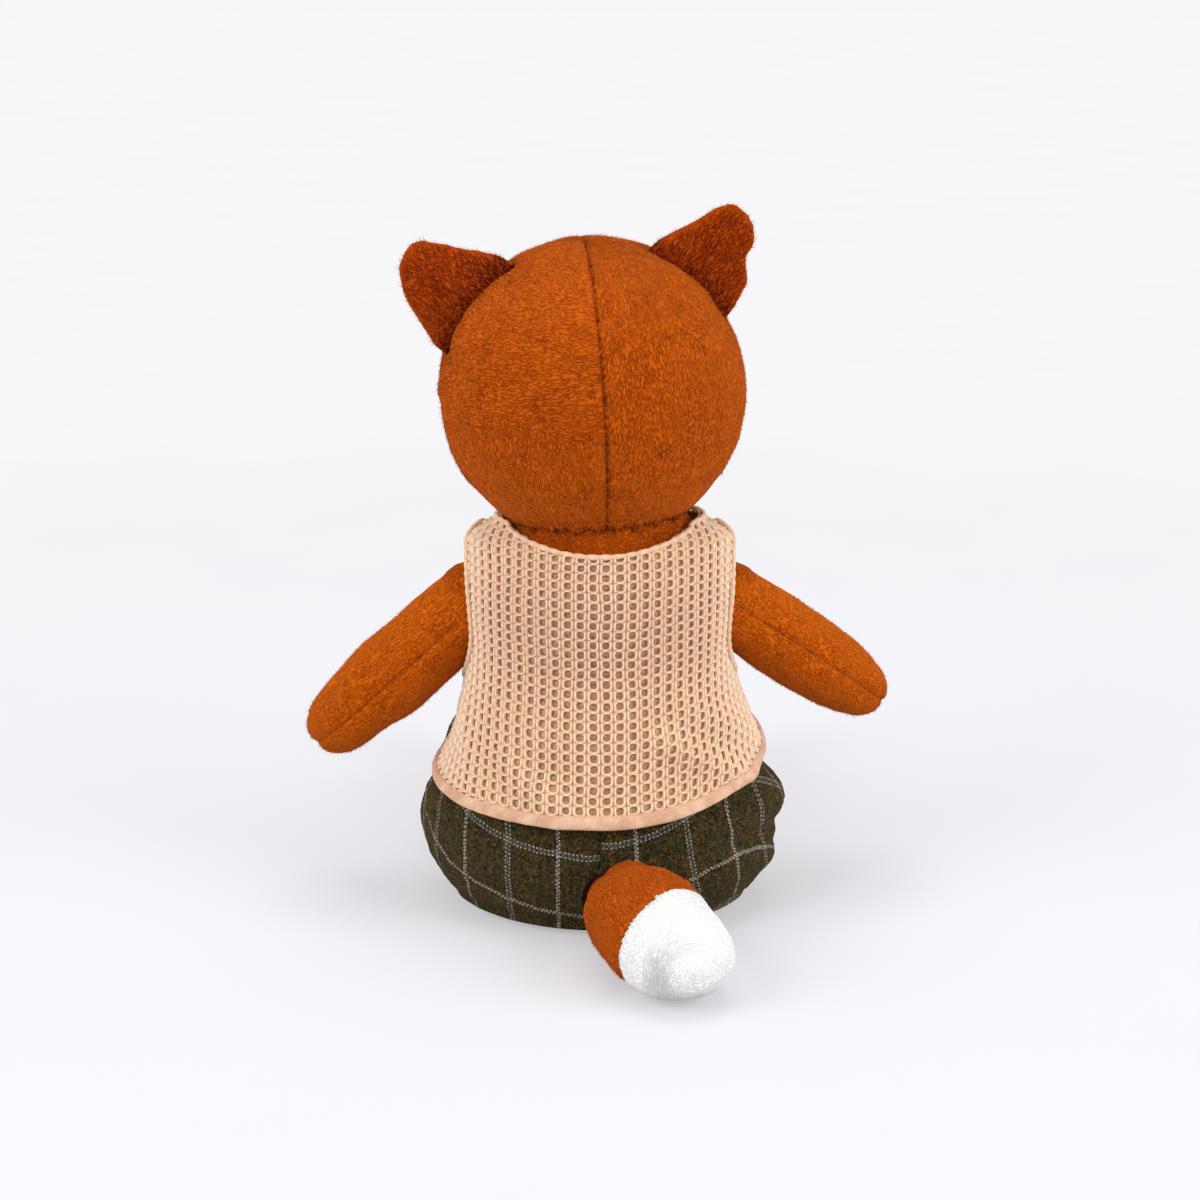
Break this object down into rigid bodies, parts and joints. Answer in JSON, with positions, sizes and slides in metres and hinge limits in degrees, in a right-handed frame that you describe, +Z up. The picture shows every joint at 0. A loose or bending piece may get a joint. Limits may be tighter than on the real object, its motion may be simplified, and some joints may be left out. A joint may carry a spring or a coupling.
{
  "type": "plush fox toy",
  "caption": "Seated stuffed fox with posable soft limbs, head, ears and tail, in a sleeveless open-knit vest with a bound hem and checked tweed shorts.",
  "frame": {"origin": "middle of the flat seat, on the floor", "axes": "+Z up, -Y the way the fox faces, +X to its left"},
  "size_m": [0.1477, 0.1936, 0.1746],
  "materials": {
    "orange_plush": "short pile",
    "white_plush": "short pile",
    "knit": "open waffle knit",
    "lining": "plain woven",
    "binding": "plain woven",
    "tweed": "woolly tweed with a windowpane check",
    "elastic": "ribbed",
    "filling": "loose polyester fibre",
    "pouch": "cotton pouch of plastic pellets",
    "thread": "twisted thread",
    "eye": "polished",
    "washer": "moulded",
    "nose": "satin stitch",
    "button": "oiled"
  },
  "bodies": {
    "torso": {"torso_skin_back": "orange_plush", "torso_skin_front": "orange_plush", "torso_stuffing": "filling", "pellet_pouch": "pouch", "shorts_seat_left": "tweed", "shorts_seat_right": "tweed", "shorts_gusset": "tweed", "shorts_waistband": "elastic", "vest_knit_back": "knit", "vest_knit_front_left": "knit", "vest_knit_front_right": "knit", "vest_lining": "lining", "vest_hem_binding": "binding", "vest_button_1": "button", "vest_button_2": "button", "vest_button_3": "button"},
    "neck_seam": {"neck_thread": "thread"},
    "neck": {"neck_stuffing": "filling"},
    "head": {"head_back_left": "orange_plush", "head_back_right": "orange_plush", "face_left": "orange_plush", "face_right": "orange_plush", "cheek_left": "white_plush", "cheek_right": "white_plush", "head_stuffing": "filling", "nose": "nose", "eye_left": "eye", "eye_right": "eye", "eye_washer_left": "washer", "eye_washer_right": "washer"},
    "ear_left": {"ear_left_back": "orange_plush", "ear_left_lining": "white_plush"},
    "ear_right": {"ear_right_back": "orange_plush", "ear_right_lining": "white_plush"},
    "arm_left_root": {"arm_left_root": "orange_plush"},
    "arm_left": {"arm_left_panel_upper": "orange_plush", "arm_left_panel_lower": "orange_plush", "arm_left_stuffing": "filling"},
    "arm_right_root": {"arm_right_root": "orange_plush"},
    "arm_right": {"arm_right_panel_upper": "orange_plush", "arm_right_panel_lower": "orange_plush", "arm_right_stuffing": "filling"},
    "leg_left": {"leg_left_root": "orange_plush", "leg_left_panel_upper": "orange_plush", "leg_left_panel_lower": "orange_plush", "leg_left_stuffing": "filling", "shorts_leg_left": "tweed"},
    "leg_right": {"leg_right_root": "orange_plush", "leg_right_panel_upper": "orange_plush", "leg_right_panel_lower": "orange_plush", "leg_right_stuffing": "filling", "shorts_leg_right": "tweed"},
    "tail_root": {"tail_root": "orange_plush"},
    "tail": {"tail_base": "orange_plush", "tail_tip": "white_plush", "tail_stuffing": "filling"}
  },
  "joints": [
    {"name": "head_turn", "type": "hinge", "parent": "torso", "child": "neck_seam", "pos_m": [0, 0, 0.095], "axis": [0, 0, 1], "range_deg": [-35, 35], "stiffness_Nm_per_rad": 0.08},
    {"name": "head_nod", "type": "hinge", "parent": "neck_seam", "child": "neck", "pos_m": [0, 0, 0.095], "axis": [1, 0, 0], "range_deg": [-8, 5], "stiffness_Nm_per_rad": 0.4},
    {"name": "head_tilt", "type": "hinge", "parent": "neck", "child": "head", "pos_m": [0, 0, 0.095], "axis": [0, 1, 0], "range_deg": [-7, 3], "stiffness_Nm_per_rad": 0.4},
    {"name": "ear_left_fold", "type": "hinge", "parent": "head", "child": "ear_left", "pos_m": [0.0299, 0.00262, 0.1511], "axis": [0.6064, 0.0531, -0.7934], "range_deg": [-12, 8], "stiffness_Nm_per_rad": 0.006},
    {"name": "ear_right_fold", "type": "hinge", "parent": "head", "child": "ear_right", "pos_m": [-0.02121, -0.00186, 0.15649], "axis": [0.7575, 0.0663, 0.6494], "range_deg": [-12, 12], "stiffness_Nm_per_rad": 0.006},
    {"name": "arm_left_swing", "type": "hinge", "parent": "torso", "child": "arm_left_root", "pos_m": [0.03138, -0.003, 0.076], "axis": [0, 0, 1], "range_deg": [-25, 8], "stiffness_Nm_per_rad": 0.03},
    {"name": "arm_left_raise", "type": "hinge", "parent": "arm_left_root", "child": "arm_left", "pos_m": [0.03138, -0.003, 0.076], "axis": [-0.0523, -0.9986, 0], "range_deg": [-1, 82], "stiffness_Nm_per_rad": 0.03},
    {"name": "arm_right_swing", "type": "hinge", "parent": "torso", "child": "arm_right_root", "pos_m": [-0.03138, -0.003, 0.076], "axis": [0, 0, 1], "range_deg": [-30, 5], "stiffness_Nm_per_rad": 0.03},
    {"name": "arm_right_raise", "type": "hinge", "parent": "arm_right_root", "child": "arm_right", "pos_m": [-0.03138, -0.003, 0.076], "axis": [-0.454, 0.891, 0], "range_deg": [-8, 74], "stiffness_Nm_per_rad": 0.03},
    {"name": "leg_left_swing", "type": "hinge", "parent": "torso", "child": "leg_left", "pos_m": [0.02237, -0.03131, 0.016], "axis": [-0.9925, -0.1219, 0], "range_deg": [-50, 30], "stiffness_Nm_per_rad": 0.2},
    {"name": "leg_right_swing", "type": "hinge", "parent": "torso", "child": "leg_right", "pos_m": [-0.02237, -0.03131, 0.016], "axis": [-0.9925, 0.1219, 0], "range_deg": [-50, 30], "stiffness_Nm_per_rad": 0.2},
    {"name": "tail_sway", "type": "hinge", "parent": "torso", "child": "tail_root", "pos_m": [-0.00682, 0.03677, 0.0125], "axis": [0, 0, 1], "range_deg": [-20, 20], "stiffness_Nm_per_rad": 0.03},
    {"name": "tail_lift", "type": "hinge", "parent": "tail_root", "child": "tail", "pos_m": [-0.00682, 0.03677, 0.0125], "axis": [0.9563, 0.2924, 0], "range_deg": [0, 35], "stiffness_Nm_per_rad": 0.03}
  ]
}
